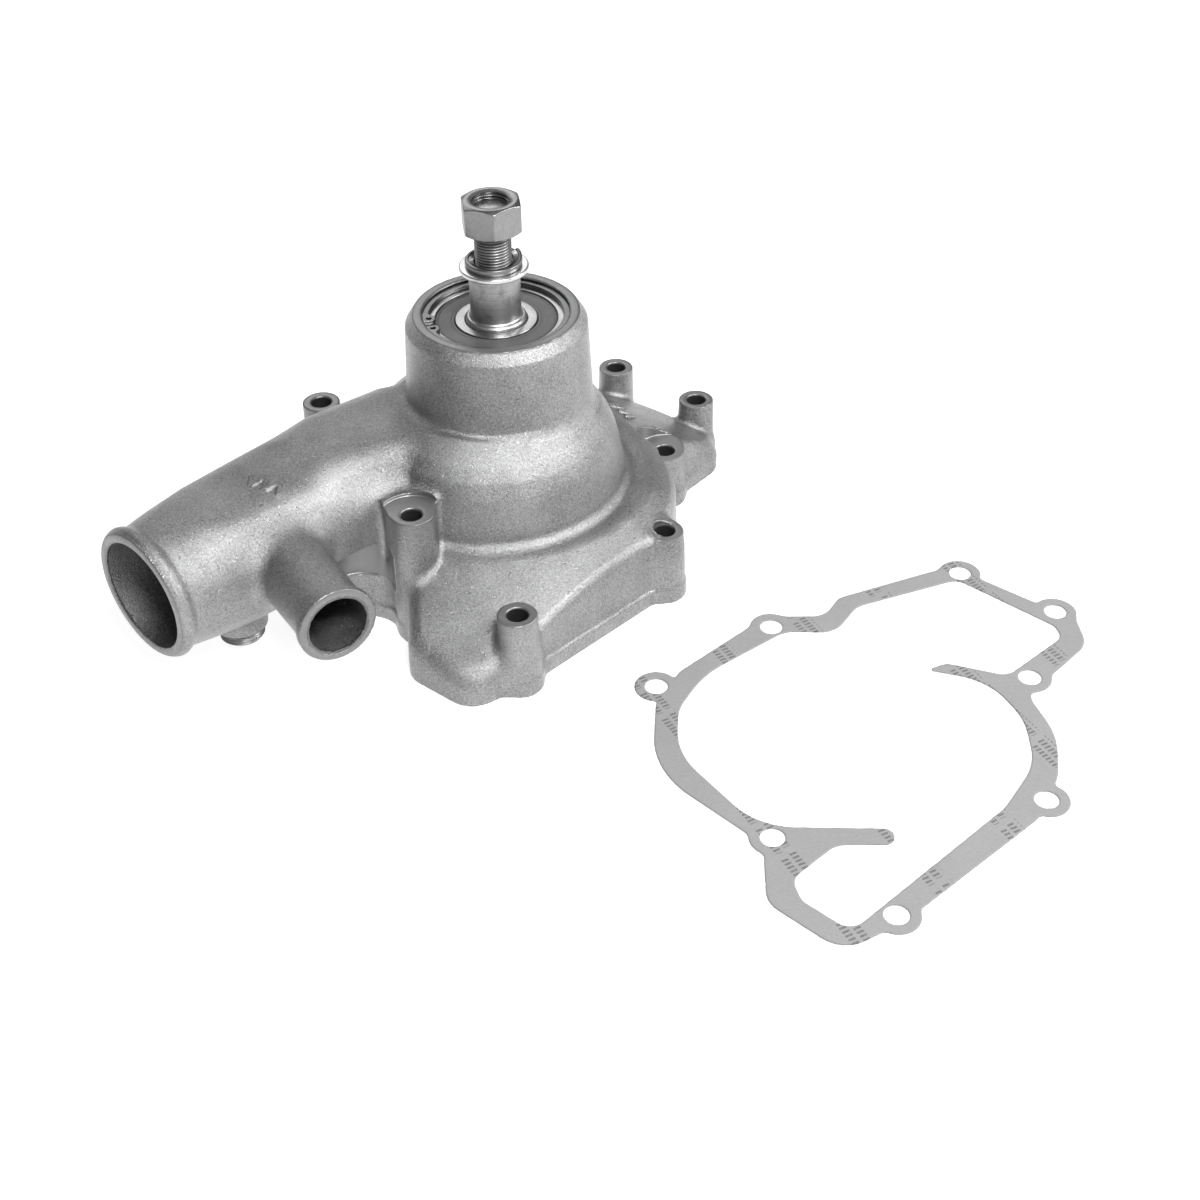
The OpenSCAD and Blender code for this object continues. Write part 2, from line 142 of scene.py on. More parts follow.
def polygon_distance(points, u, v):
    """Signed distance from (u, v) to a closed polygon, negative inside."""
    best = np.full(u.shape, 1e9, np.float32)
    inside = np.zeros(u.shape, bool)
    count = len(points)
    for k in range(count):
        ax, ay = points[k]
        bx, by = points[(k + 1) % count]
        ex, ey = bx - ax, by - ay
        size = ex * ex + ey * ey
        if size < 1e-12:
            continue
        wx, wy = u - ax, v - ay
        t = np.clip((wx * ex + wy * ey) / size, 0, 1)
        best = np.minimum(best, (wx - t * ex) ** 2 + (wy - t * ey) ** 2)
        if ay != by:
            crosses = (ay > v) != (by > v)
            inside ^= crosses & (u < ax + (v - ay) * ex / ey)
    return np.where(inside, -1, 1) * np.sqrt(best)


class Table:
    """A 2D distance field on a fine grid, read back by linear interpolation."""

    def __init__(self, points, low, high, step=0.5):
        self.low = low
        self.step = step
        nu = int((high[0] - low[0]) / step) + 2
        nv = int((high[1] - low[1]) / step) + 2
        u, v = np.meshgrid(
            low[0] + step * np.arange(nu), low[1] + step * np.arange(nv), indexing="ij"
        )
        self.grid = polygon_distance(points, u.astype(np.float32), v.astype(np.float32))

    def __call__(self, u, v):
        x = np.clip((u - self.low[0]) / self.step, 0, self.grid.shape[0] - 1.001)
        y = np.clip((v - self.low[1]) / self.step, 0, self.grid.shape[1] - 1.001)
        i = x.astype(np.int32)
        j = y.astype(np.int32)
        x = (x - i).astype(np.float32)
        y = (y - j).astype(np.float32)
        g = self.grid
        near = g[i, j] * (1 - x) + g[i + 1, j] * x
        far = g[i, j + 1] * (1 - x) + g[i + 1, j + 1] * x
        return near * (1 - y) + far * y


# ---------------------------------------------------------------- distance fields
def join(a, b, r):
    """Union with a fillet of radius r in the hollow between the two."""
    u = np.maximum(r - a, 0)
    v = np.maximum(r - b, 0)
    return np.maximum(r, np.minimum(a, b)) - np.sqrt(u * u + v * v)


def overlap(a, b, r):
    """Intersection whose edge is rounded to radius r."""
    u = np.maximum(r + a, 0)
    v = np.maximum(r + b, 0)
    return np.minimum(-r, np.maximum(a, b)) + np.sqrt(u * u + v * v)


def cut(a, b, r):
    """a without b, with the edge rounded to radius r."""
    return overlap(a, -b, r)


def upright(x, y, z, at, r_low, r_high, low, high, edge):
    """An upright round post between two heights."""
    r = r_low + (r_high - r_low) * np.clip((z - low) / (high - low), 0, 1)
    side = np.hypot(x - at[0], y - at[1]) - r
    ends = np.abs(z - (low + high) / 2) - (high - low) / 2
    return overlap(side, ends, edge)


def smooth_step(x, low, high):
    t = np.clip((x - low) / (high - low), 0, 1)
    return t * t * (3 - 2 * t)


class Pipe:
    """Coordinates along a level pipe: s from its mouth inwards, and the distance from its axis."""

    def __init__(self, mouth, turn):
        self.mouth = mouth
        self.way = np.array([-math.cos(turn), -math.sin(turn)])

    def at(self, s, z):
        return np.array([*(self.mouth[:2] + s * self.way), z])

    def __call__(self, x, y, z):
        dx = x - self.mouth[0]
        dy = y - self.mouth[1]
        s = dx * self.way[0] + dy * self.way[1]
        across = -dx * self.way[1] + dy * self.way[0]
        return s, np.hypot(across, z - self.mouth[2])


inlet = Pipe(INLET_MOUTH, INLET_TURN)
bypass = Pipe(BYPASS_MOUTH, BYPASS_TURN)
PLUG_AT = inlet.at(PLUG_REACH, 0)
WEEP_TURN = math.radians(78)
WEEP_Z = 69.0
SPOT_FACES = ((3, 11.5), (6, 15.6), (4, 15.0))
SPOT_POCKET = (-69.0, -81.0, 18.0)

flange_table = Table(rounded(FLANGE), (-120, -160), (140, 150))
opening_table = Table(rounded(OPENING), (-120, -160), (140, 150))
shoulder_table = Table(rounded(SHOULDER), (-130, -130), (60, 60))
web_table = Table(rounded(WEB), (-90, -110), (10, -20))
tower_table = Table(
    rounded([
        (-60, 40, 0.1), (46.8, 40, 1), (46.8, 98, 30), (45.0, 133.4, 0.4), (41.0, RIM_Z, 0.3),
        (-60, RIM_Z, 0.1),
    ]),
    (-2, -22), (130, 150), 0.4,
)
chamber_table = Table(
    rounded([
        (-60, 20, 0.1), (68.6, 20, 1), (67.4, 54, 20), (63.6, 72, 30), (60.2, 80, 8), (56.0, 86.2, 12),
        (45.5, 95.5, 4), (-60, 96, 0.1),
    ]),
    (-2, -22), (130, 150), 0.4,
)
bore_table = Table(
    rounded([
        (-20, 160, 0.1), (-20, 30, 0.1), (18.5, 30, 0.1), (18.5, 61, 0.2), (16, 61, 0.2), (16, 74, 0.2),
        (17.5, 74, 0.2), (17.5, 80, 0.2), (22, 80, 0.2), (22, 84, 0.2), (31, 84, 0.2),
        (31, 116.5, 0.2), (36, 116.5, 0.2), (36, 135.5, 0.05), (37.6, 135.5, 0.05), (37.6, 138.1, 0.05),
        (36, 138.1, 0.05), (36, 138.8, 0.3), (36.9, RIM_Z + 0.1, 0.1), (36.9, 160, 0.1),
    ]),
    (-2, -22), (130, 165), 0.25,
)


def stroke(x, y, ax, ay, bx, by):
    """Distance in plan from a straight line between two points."""
    ex, ey = bx - ax, by - ay
    k = np.clip(((x - ax) * ex + (y - ay) * ey) / (ex * ex + ey * ey), 0, 1)
    return np.hypot(x - ax - k * ex, y - ay - k * ey)


# Rows of plain raised strokes left by the mould: middle, direction and length of the row.
MARKS = ((-108.5, -76.0, -22, 15.0), (62.0, 66.0, -62, 20.0))


def mould_marks(x, y):
    """Distance in plan from the nearest raised stroke."""
    best = np.full(np.shape(x), 50.0, np.float32)
    for mx, my, turn, length in MARKS:
        c, s = math.cos(math.radians(turn)), math.sin(math.radians(turn))
        for k in range(5):
            along = length * (k / 4 - 0.5)
            lean = 1.1 if k % 2 else -1.1
            ax, ay = mx + c * (along - lean) + s * 2.8, my + s * (along - lean) - c * 2.8
            bx, by = mx + c * (along + lean) - s * 2.8, my + s * (along + lean) + c * 2.8
            best = np.minimum(best, stroke(x, y, ax, ay, bx, by))
    return best


def outside(x, y, z):
    """The casting before it is hollowed and machined."""
    r = np.hypot(x, y)
    # Volute: the flange outline under a roof that falls away from the shaft. Its tall walls have a lip
    # at the foot; the two outlet lobes have none.
    roof = (z - STEP_Z + ROOF_FALL * (r - STEP_R)) / math.hypot(1, ROOF_FALL)
    lobes = np.minimum(np.hypot(x + 24, y + 112) - 34, np.hypot(x - 88, y - 92) - 42)
    lip = 1.3 * smooth_step(lobes, 0, 8)
    draft = lip * smooth_step(z, 8, 10) + 0.045 * np.maximum(z - 9, 0)
    outline = flange_table(x, y)
    for bx, by, _ in BOLTS:
        outline = join(outline, np.hypot(x - bx, y - by) - LUG_R, 5.0)
    walls = outline + draft
    top = overlap(roof, z - STEP_Z, 2.0)
    edge = 3.5 + 3.5 * smooth_step(lobes, 8, 0)
    volute = overlap(walls, top, edge)
    # Inlet chamber, whose axis lies beside the shaft, and the bearing tower on it.
    chamber = chamber_table(np.hypot(x - CHAMBER_AT[0], y - CHAMBER_AT[1]), z)
    d = join(volute, chamber, 6.0)
    filler = upright(x, y, z, (-70, -36), 28, 29, -5, 76, 12.0)
    d = join(d, filler, 8.0)
    # Inlet pipe, flat along its top, and the flat shoulder that carries it up to the tower.
    s, across = inlet(x, y, z)
    pipe_r = np.interp(s, [0, 8, 22, 44, 75, 128, 165], [31.0, 31.4, 33.6, 36.0, 37.2, 38.8, 36.5])
    tube = overlap(across - pipe_r.astype(np.float32), np.abs(s - 82) - 82, 1.0)
    level = FLAT_TOP_Z + 4.0 * smooth_step(s, 48, 10)
    tube = overlap(tube, z - level, 6.0)
    slab = overlap(np.maximum(shoulder_table(x, y), 50 - z), z - FLAT_TOP_Z, 11.0)
    d = join(d, join(tube, slab, 9.0), 8.0)
    toward_inlet = (x * math.cos(INLET_TURN) + y * math.sin(INLET_TURN)) / np.maximum(r, 1)
    d = join(d, tower_table(r, z), 4.0 - 1.0 * smooth_step(toward_inlet, 0.1, 0.8))
    # Web that ties the tall front boss to the shoulder.
    d = join(d, overlap(web_table(x, y), np.abs(z - 43.8) - 28.8, 1.0), 4.0)
    # Bypass pipe and its end collar.
    s2, across2 = bypass(x, y, z)
    branch = overlap(across2 - BYPASS_OUTER_R - 0.018 * s2, np.abs(s2 - 44) - 44, 0.6)
    d = join(d, branch, 8.0)
    collar = overlap(across2 - BYPASS_OUTER_R - 2.0, np.abs(s2 - 2) - 2, 0.7)
    d = join(d, collar, 1.5)
    # Bead at the inlet mouth.
    bead = np.hypot(s - 3.8, across - 29.9) - 3.6
    d = join(d, bead, 2.5)
    # Boss of the plug below the pipe.
    boss = upright(x, y, z, PLUG_AT, 13.5, 15, PLUG_BOSS_Z, 40, 1.0)
    d = join(d, boss, 5.0)
    # Bolt bosses.
    for bx, by, height in BOLTS:
        post = upright(x, y, z, (bx, by), BOSS_R + 0.9, BOSS_R, -5, height, 0.6)
        d = join(d, post, 4.0)
    marks = np.maximum(np.maximum(mould_marks(x, y) - 1.0, d - 1.4), 30 - z)
    d = join(d, marks, 0.6)
    return overlap(d, -z, 0.4)


def hollows(x, y, z):
    """The rooms and pipes inside the casting, left rough."""
    r = np.hypot(x, y)
    ceiling = (z - STEP_Z + 6.0 + ROOF_FALL * (r - STEP_R)) / math.hypot(1, ROOF_FALL)
    room = overlap(opening_table(x, y), overlap(ceiling, z - POCKET_Z, 3.0), 3.0)
    eye = overlap(r - 34, np.abs(z - 35) - 15, 2.0)
    room = join(room, eye, 3.0)
    across = np.hypot(x - CHAMBER_AT[0], y - CHAMBER_AT[1])
    chamber = overlap(across - 61 + 0.195 * (z - 38), np.abs(z - 58.5) - 20.5, 6.0)
    chamber = cut(chamber, overlap(r - 25, 50 - z, 1.5), 3.0)
    rib_off = np.abs(-x * math.sin(WEEP_TURN) + y * math.cos(WEEP_TURN)) - 7
    rib_from = 15 - (x * math.cos(WEEP_TURN) + y * math.sin(WEEP_TURN))
    chamber = cut(chamber, np.maximum(np.maximum(rib_off, rib_from), 58 - z), 2.0)
    room = np.minimum(room, chamber)
    s, across = inlet(x, y, z)
    bore = overlap(across - INLET_R, np.abs(s - 50) - 51, 0.5)
    taper = np.interp(s, [97, 152], [26.4, 19]).astype(np.float32)
    bore = join(bore, np.maximum(across - taper, np.abs(s - 124) - 27), 3.0)
    room = join(room, bore, 4.0)
    s2, across2 = bypass(x, y, z)
    return join(room, np.maximum(across2 - BYPASS_R, np.abs(s2 - 43) - 45), 3.0)


def machined(x, y, z):
    """Everything cut to size afterwards: bearing and seal seats, bolt holes and spot faces."""
    r = np.hypot(x, y)
    along = x * math.cos(WEEP_TURN) + y * math.sin(WEEP_TURN)
    off = np.hypot(-x * math.sin(WEEP_TURN) + y * math.cos(WEEP_TURN), z - WEEP_Z)
    cuts = np.minimum(bore_table(r, z), np.maximum(off - 2.5, -along))
    for bx, by, top in BOLTS:
        off = np.hypot(x - bx, y - by)
        cuts = np.minimum(cuts, off - BOLT_HOLE_R - 0.8 * np.clip(z - top + 0.6, 0, 0.6))
    plug = np.hypot(x - PLUG_AT[0], y - PLUG_AT[1])
    cuts = np.minimum(cuts, np.maximum(plug - 9.5, np.abs(z - 25) - 16))
    for index, size in SPOT_FACES:
        bx, by, top = BOLTS[index]
        cuts = np.minimum(cuts, np.maximum(np.hypot(x - bx, y - by) - size, top - z))
    pocket = np.hypot(x - SPOT_POCKET[0], y - SPOT_POCKET[1]) - SPOT_POCKET[2]
    return np.minimum(cuts, overlap(pocket, np.abs(z - 37.5) - 10.5, 0.6))


def housing_field(x, y, z):
    d = cut(outside(x, y, z), hollows(x, y, z), 0.8)
    return np.maximum(d, -machined(x, y, z))


# ---------------------------------------------------------------- surfaces from distance fields
CHUNK = 400_000


def evaluate(field, points):
    out = np.empty(len(points), np.float32)
    for k in range(0, len(points), CHUNK):
        part = points[k:k + CHUNK].astype(np.float32)
        out[k:k + CHUNK] = field(part[:, 0], part[:, 1], part[:, 2])
    return out


def gradient(field, points, h=0.05):
    g = np.empty_like(points)
    for axis in range(3):
        step = np.zeros(3)
        step[axis] = h
        g[:, axis] = evaluate(field, points + step) - evaluate(field, points - step)
    return g / (2 * h)


def polygonise(field, low, high, step, block=6):
    """Points and quads of a field's surface, evaluated only in the blocks that the surface can cross."""
    low = np.array(low, float)
    counts = np.ceil((np.array(high) - low) / (step * block)).astype(int)
    cells = np.stack(np.meshgrid(*[np.arange(n) for n in counts], indexing="ij"), -1).reshape(-1, 3)
    centres = low + (cells + 0.5) * block * step
    coarse = evaluate(field, centres)
    near = np.abs(coarse) < block * step * 1.15
    volume = np.repeat(np.repeat(np.repeat(
        np.where(coarse > 0, 3 * step, -3 * step).astype(np.float32).reshape(counts),
        block, 0), block, 1), block, 2)
    offsets = np.stack(np.meshgrid(*[np.arange(block)] * 3, indexing="ij"), -1).reshape(-1, 3)
    chosen = cells[near] * block
    per = max(1, CHUNK // len(offsets))
    for k in range(0, len(chosen), per):
        index = (chosen[k:k + per, None, :] + offsets[None]).reshape(-1, 3)
        values = evaluate(field, low + index * step)
        volume[index[:, 0], index[:, 1], index[:, 2]] = np.clip(values, -3 * step, 3 * step)
    grid = openvdb.FloatGrid(3 * step)
    grid.copyFromArray(volume)
    points, quads = grid.convertToQuads(0.0)
    points = low + np.asarray(points, float) * step
    for _ in range(2):
        g = gradient(field, points)
        size = np.maximum((g * g).sum(1), 0.2)
        move = -evaluate(field, points)[:, None] * g / size[:, None]
        length = np.linalg.norm(move, axis=1, keepdims=True)
        points += move * np.minimum(1, 0.5 * step / np.maximum(length, 1e-9))
    return points, np.asarray(quads)[:, ::-1]


def mesh_object(name, points, faces, smooth=True):
    """A mesh object from points in millimetres."""
    mesh = bpy.data.meshes.new(name)
    mesh.from_pydata((np.asarray(points) * MM).tolist(), [], [list(map(int, f)) for f in faces])
    mesh.update()
    mesh.shade_smooth() if smooth else mesh.shade_flat()
    obj = bpy.data.objects.new(name, mesh)
    bpy.context.scene.collection.objects.link(obj)
    return obj


def mark(obj, name, values):
    """Stores one number for each point, for the shader to read."""
    attribute = obj.data.attributes.new(name, "FLOAT", "POINT")
    attribute.data.foreach_set("value", np.asarray(values, np.float32))


def build_housing():
    step = 0.9
    low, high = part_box("pump_housing")
    low = np.array(low) / MM - 2.5
    high = np.array(high) / MM + 2.5
    points, quads = polygonise(housing_field, low, high, step)
    obj = mesh_object("housing_casting", points, quads)
    x, y, z = (points[:, k].astype(np.float32) for k in range(3))
    flat = np.minimum(np.abs(z), np.abs(z - RIM_Z))
    for bx, by, top in BOLTS:
        over = np.hypot(x - bx, y - by) < BOSS_R + 0.4
        flat = np.where(over, np.minimum(flat, np.abs(z - top)), flat)
    s, across = inlet(x, y, z)
    flat = np.where(across < 36, np.minimum(flat, np.abs(s)), flat)
    s2, across2 = bypass(x, y, z)
    flat = np.where(across2 < 20, np.minimum(flat, np.abs(s2)), flat)
    flat = np.minimum(flat, np.abs(machined(x, y, z)))
    mark(obj, "machined", 1 - smooth_step(flat, 0.25, 0.6))
    # Painted shade in the hollows, with a rougher grain there: darkest in the bolt holes and the bypass,
    # least in the inlet.
    inside = 1 - smooth_step(np.abs(hollows(x, y, z)), 0.5, 1.5)
    inside = np.where((across2 < BYPASS_R + 1.2) & (s2 < 70), inside * BYPASS_SHADE_AND_ROUGHNESS, inside)
    inside = np.where((across < INLET_R + 1.2) & (s < 70), inside * INLET_SHADE_AND_ROUGHNESS, inside)
    for bx, by, top in BOLTS:
        off = np.abs(np.hypot(x - bx, y - by) - BOLT_HOLE_R)
        inside = np.where((off < 0.5) & (z < top - 0.9), HOLE_SHADE_AND_ROUGHNESS, inside)
    mark(obj, "inside", inside)
    return obj


# ---------------------------------------------------------------- turned pieces
def ring_mesh(rings, closed=True):
    """Points and quads of rows of equally many points; closed joins the last row to the first."""
    rows = len(rings)
    count = len(rings[0])
    faces = []
    for i in range(rows if closed else rows - 1):
        a = i * count
        b = ((i + 1) % rows) * count
        for k in range(count):
            n = (k + 1) % count
            faces.append((a + k, a + n, b + n, b + k))
    return np.concatenate(rings), faces


def lathe(profile, segments=160, at=(0.0, 0.0)):
    """Turns a closed outline of corners (r, z, radius) around an upright axis."""
    outline = rounded(profile, math.radians(18))
    turn = np.linspace(0, 2 * math.pi, segments, endpoint=False)
    rings = []
    for r, z in outline:
        r = max(r, 0.001)
        x = at[0] + r * np.cos(turn)
        y = at[1] + r * np.sin(turn)
        rings.append(np.stack([x, y, np.full(segments, z)], 1))
    return ring_mesh(rings)


def combine(*meshes):
    points = []
    faces = []
    base = 0
    for p, f in meshes:
        points.append(p)
        faces += [tuple(base + k for k in face) for face in f]
        base += len(p)
    return np.concatenate(points), faces


def saw(phase):
    """Triangle wave with flat crests and roots, 0 to 1."""
    return np.clip(np.abs((phase % 1.0) - 0.5) * 2.4 - 0.15, 0, 1)


def thread_rings(major, depth, pitch, z0, z1, limit, segments=120, start=0.0):
    """Rows of points of a screw thread between two heights; limit(z) caps the radius."""
    turn = np.linspace(0, 2 * math.pi, segments, endpoint=False)
    rings = []
    for z in np.arange(z0, z1 + 0.001, pitch / 12):
        r = major - depth * (1 - saw(z / pitch - turn / (2 * math.pi) + start))
        r = np.minimum(r, limit(z))
        rings.append(np.stack([r * np.cos(turn), r * np.sin(turn), np.full(segments, z)], 1))
    return rings


def groove_depth(points, major, depth, low, high):
    """How deep each point lies in a thread, 0 on the crest and 1 at the root."""
    deep = (major - np.hypot(points[:, 0], points[:, 1])) / depth
    inside = (points[:, 2] > low) & (points[:, 2] < high)
    return np.where(inside, np.clip(deep, 0, 1), 0)


def cap(rings, z, first):
    """Adds a nearly closed middle to one end of the rows."""
    centre = rings[0 if first else -1].copy()
    centre[:, :2] *= 0.0002
    centre[:, 2] = z
    return [centre] + rings if first else rings + [centre]


# ---------------------------------------------------------------- shaft end and nut
SHAFT_TOP = 194.5
WASHER_SEAT = 162.0
THREAD_R = 9.0
THREAD_DEPTH = 0.92
PITCH = 1.5
JOURNAL_TOP = 137.5
SEAT_R = 12.5
NUT_Z = 182.4
NUT_H = 16.0
NUT_FLATS = 27.0
NUT_TURN = math.radians(38.5)
BEARING_TOP = 135.5
CLIP_TURN = math.radians(196)
CLIP_OUTER_R = 37.4
CLIP_INNER_R = 33.2
CLIP_EYE_AT = 33
CLIP_EYE_TURN = math.radians(8.5)


def build_shaft():
    body = lathe([
        (0.0, 9, 0.01), (7.6, 9, 0.6), (8, 10, 0.3), (8, 39, 0.2), (10, 39, 0.3), (10, 83.4, 0.3),
        (14.6, 83.4, 0.3), (15, 84, 0.2), (15, JOURNAL_TOP - 0.9, 0.3), (14.1, JOURNAL_TOP, 0.3),
        (SEAT_R + 0.7, JOURNAL_TOP, 0.3), (SEAT_R, JOURNAL_TOP + 0.8, 0.6),
        (SEAT_R, WASHER_SEAT - 0.8, 0.2), (SEAT_R - 0.8, WASHER_SEAT, 0.2), (0.0, WASHER_SEAT, 0.01),
    ])
    rings = thread_rings(
        THREAD_R, THREAD_DEPTH, PITCH, WASHER_SEAT - 0.5, SHAFT_TOP,
        lambda z: THREAD_R - max(0, z - (SHAFT_TOP - 1.3)),
    )
    rings = cap(cap(rings, WASHER_SEAT - 0.5, True), SHAFT_TOP + 0.001, False)
    points, faces = combine(body, ring_mesh(rings, closed=False))
    obj = mesh_object("drive_shaft_turned", points, faces)
    # Thread depth, which the shader uses to paint shade into the roots.
    mark(obj, "groove", groove_depth(points, THREAD_R, THREAD_DEPTH, WASHER_SEAT + 1, SHAFT_TOP - 1.4))
    return obj


def hexagon(flats, corner, count):
    """Evenly spaced points around a hexagon with rounded corners."""
    reach = flats / 2 / math.cos(math.pi / 6)
    corners = []
    for k in range(6):
        spoke = k * math.pi / 3
        corners.append((reach * math.cos(spoke), reach * math.sin(spoke), corner))
    outline = rounded(corners, math.radians(10))
    turn = np.unwrap(np.arctan2(outline[:, 1], outline[:, 0]))
    order = np.argsort(turn % (2 * math.pi))
    turn = (turn % (2 * math.pi))[order]
    size = np.hypot(outline[:, 0], outline[:, 1])[order]
    at = np.linspace(0, 2 * math.pi, count, endpoint=False)
    # Between two points of the outline the radius follows the straight side.
    first_x, first_y = size[0] * math.cos(turn[0]), size[0] * math.sin(turn[0])
    last_x, last_y = size[-1] * math.cos(turn[-1]), size[-1] * math.sin(turn[-1])
    x = np.concatenate([[last_x], size * np.cos(turn), [first_x]])
    y = np.concatenate([[last_y], size * np.sin(turn), [first_y]])
    t = np.concatenate([[turn[-1] - 2 * math.pi], turn, [turn[0] + 2 * math.pi]])
    k = np.clip(np.searchsorted(t, at, side="right") - 1, 0, len(t) - 2)
    ax, ay, bx, by = x[k], y[k], x[k + 1], y[k + 1]
    ux, uy = np.cos(at), np.sin(at)
    return (ax * by - ay * bx) / (ux * (by - ay) - uy * (bx - ax))


def build_nut():
    count = 240
    turn = np.linspace(0, 2 * math.pi, count, endpoint=False)
    side = hexagon(NUT_FLATS, 1.0, count)
    face = NUT_FLATS / 2 - 0.7
    drop = np.maximum(side - face, 0) * math.tan(math.radians(30))
    spin = turn + NUT_TURN

    def ring(r, z):
        r = np.broadcast_to(r, count)
        return np.stack([r * np.cos(spin), r * np.sin(spin), NUT_Z + np.broadcast_to(z, count)], 1)

    bore = THREAD_R - THREAD_DEPTH + 0.02
    rings = [ring(THREAD_R + 1.4, 0), ring(face - 0.25, 0), ring(face + 0.1, 0.12)]
    rings += [ring(face + (side - face) * t, drop * t) for t in (0.4, 0.8, 0.96)]
    rings += [ring(side, drop + 0.35), ring(side, NUT_H - drop - 0.35)]
    rings += [ring(face + (side - face) * t, NUT_H - drop * t) for t in (0.96, 0.8, 0.4)]
    rings += [ring(face + 0.1, NUT_H - 0.12), ring(face - 0.25, NUT_H), ring(THREAD_R + 1.6, NUT_H)]
    rings += [ring(THREAD_R + 1.35, NUT_H - 0.15)]
    # Inner thread, cut down from the chamfer at the top to the chamfer at the bottom.
    for z in np.arange(NUT_H - 0.2, 0.15, -PITCH / 12):
        lead = max(0, z - (NUT_H - 1.5), 1.4 - z)
        r = THREAD_R + 0.04 - THREAD_DEPTH * saw((NUT_Z + z) / PITCH - spin / (2 * math.pi) + 0.5)
        rings.append(ring(np.maximum(r, bore + lead * 1.5), z))
    points, faces = ring_mesh(rings)
    obj = mesh_object("pulley_nut_threaded", points, faces)
    depth = np.clip((np.hypot(points[:, 0], points[:, 1]) - bore) / THREAD_DEPTH, 0, 1)
    inner = np.hypot(points[:, 0], points[:, 1]) < THREAD_R + 0.3
    # Thread depth, which the shader uses to paint shade into the roots.
    mark(obj, "groove", np.where(inner, depth, 0))
    return obj


def build_flat_washer():
    low = WASHER_SEAT + 0.05
    return mesh_object("flat_washer_turned", *lathe([
        (THREAD_R + 0.3, low, 0.2), (17, low, 0.7), (17, low + 2.5, 0.9),
        (THREAD_R + 0.3, low + 2.5, 0.3),
    ]))


def build_lock_washer():
    """A spring washer: a bar bent into one turn whose ends stand apart, with radial teeth inside."""
    count = 560
    gap = math.radians(8)
    middle = math.radians(34)
    bottom = WASHER_SEAT + 2.62
    section = rounded([
        (9.45, 0, 0.3), (13.85, 0, 0.5), (13.85, 2.9, 0.7), (12.3, 3.3, 0.4), (12.0, 2.7, 0.1),
        (9.45, 2.2, 0.3),
    ], math.radians(30))
    toothed = (section[:, 0] < 12.05) & (section[:, 1] > 1.2)
    rings = []
    for t in np.linspace(0, 1, count):
        turn = middle + gap / 2 + t * (2 * math.pi - gap)
        lift = 1.8 * smooth_step(np.float64(t), 0.8, 1.0) ** 1.5
        tooth = 0.65 * min(1.0, max(0.0, 0.5 + 1.2 * math.cos(turn * 56)))
        r = section[:, 0]
        z = section[:, 1] - np.where(toothed, tooth, 0.0)
        rings.append(np.stack([r * math.cos(turn), r * math.sin(turn), bottom + z + lift], 1))
    points, faces = ring_mesh(rings, closed=False)
    size = len(section)
    faces.append(tuple(range(size))[::-1])
    faces.append(tuple((count - 1) * size + k for k in range(size)))
    return mesh_object("spring_lock_washer_bent", points, faces)


def build_clip():
    """The retaining ring in the bearing bore, with an eye at each end."""
    z0 = BEARING_TOP + 0.05
    high = 2.2

    def field(x, y, z):
        along = x * math.cos(CLIP_TURN) + y * math.sin(CLIP_TURN)
        side = -x * math.sin(CLIP_TURN) + y * math.cos(CLIP_TURN)
        band = np.maximum(np.hypot(x, y) - CLIP_OUTER_R, CLIP_INNER_R - np.hypot(along, side))
        for sign in (-1, 1):
            turn = CLIP_TURN + sign * CLIP_EYE_TURN
            eye = np.hypot(x - CLIP_EYE_AT * math.cos(turn), y - CLIP_EYE_AT * math.sin(turn)) - 3.3
            band = join(band, np.maximum(eye, np.hypot(x, y) - CLIP_OUTER_R), 2.0)
        gap = np.maximum(np.abs(side) - 2.2, 20 - along)
        band = cut(band, gap, 0.5)
        for sign in (-1, 1):
            turn = CLIP_TURN + sign * CLIP_EYE_TURN
            eye = np.hypot(x - CLIP_EYE_AT * math.cos(turn), y - CLIP_EYE_AT * math.sin(turn))
            band = np.maximum(band, 1.25 - eye)
        return overlap(band, np.abs(z - z0 - high / 2) - high / 2, 0.3)

    step = 0.34
    points, quads = polygonise(field, (-38.5, -38.5, z0 - 1), (38.5, 38.5, z0 + high + 1), step)
    return mesh_object("retaining_ring_stamped", points, quads)


def build_front_seal():
    """The rubber lip seal that closes the front bearing, moulded with shallow ribs."""
    z = BEARING_TOP
    return mesh_object("front_bearing_seal_moulded", *lathe([
        (20.5, z - 2.0, 0.1), (30.2, z - 2.0, 0.1), (30.2, z - 0.9, 0.2), (29.2, z - 0.55, 0.4),
        (28.4, z - 0.95, 0.4), (22.6, z - 0.85, 0.5), (21.9, z - 0.5, 0.3), (20.75, z - 0.6, 0.2),
        (20.5, z - 1.1, 0.1),
    ]))


def build_ring(name, corners):
    return mesh_object(name, *lathe(corners))


def build_plug():
    """The pipe plug, its thread standing out below the boss, with a socket in its end."""
    low = PLUG_BOTTOM_Z
    px, py = PLUG_AT[:2]
    rings = thread_rings(
        PLUG_THREAD_R, PLUG_THREAD_DEPTH, PLUG_PITCH, low, PLUG_THREAD_TOP,
        lambda z: PLUG_THREAD_R - max(0, low + 1.2 - z), start=0.3,
    )
    socket = hexagon(10.0, 0.3, 120)
    turn = np.linspace(0, 2 * math.pi, 120, endpoint=False)

    def ring(r, z):
        r = np.broadcast_to(r, 120)
        return np.stack([r * np.cos(turn), r * np.sin(turn), np.full(120, z)], 1)

    end = [ring(0.002, low + 6), ring(socket, low + 6), ring(socket, low + 0.4), ring(socket + 0.4, low)]
    rings = cap(end + rings, PLUG_THREAD_TOP, False)
    points, faces = ring_mesh(rings, closed=False)
    points = points + np.array([px, py, 0])
    shank = lathe([(0.0, 13, 0.01), (9.3, 13, 0.2), (9.3, 26.8, 0.5), (0.0, 26.8, 0.01)], 96, (px, py))
    return mesh_object("pipe_plug_threaded", *combine((points, faces), shank))


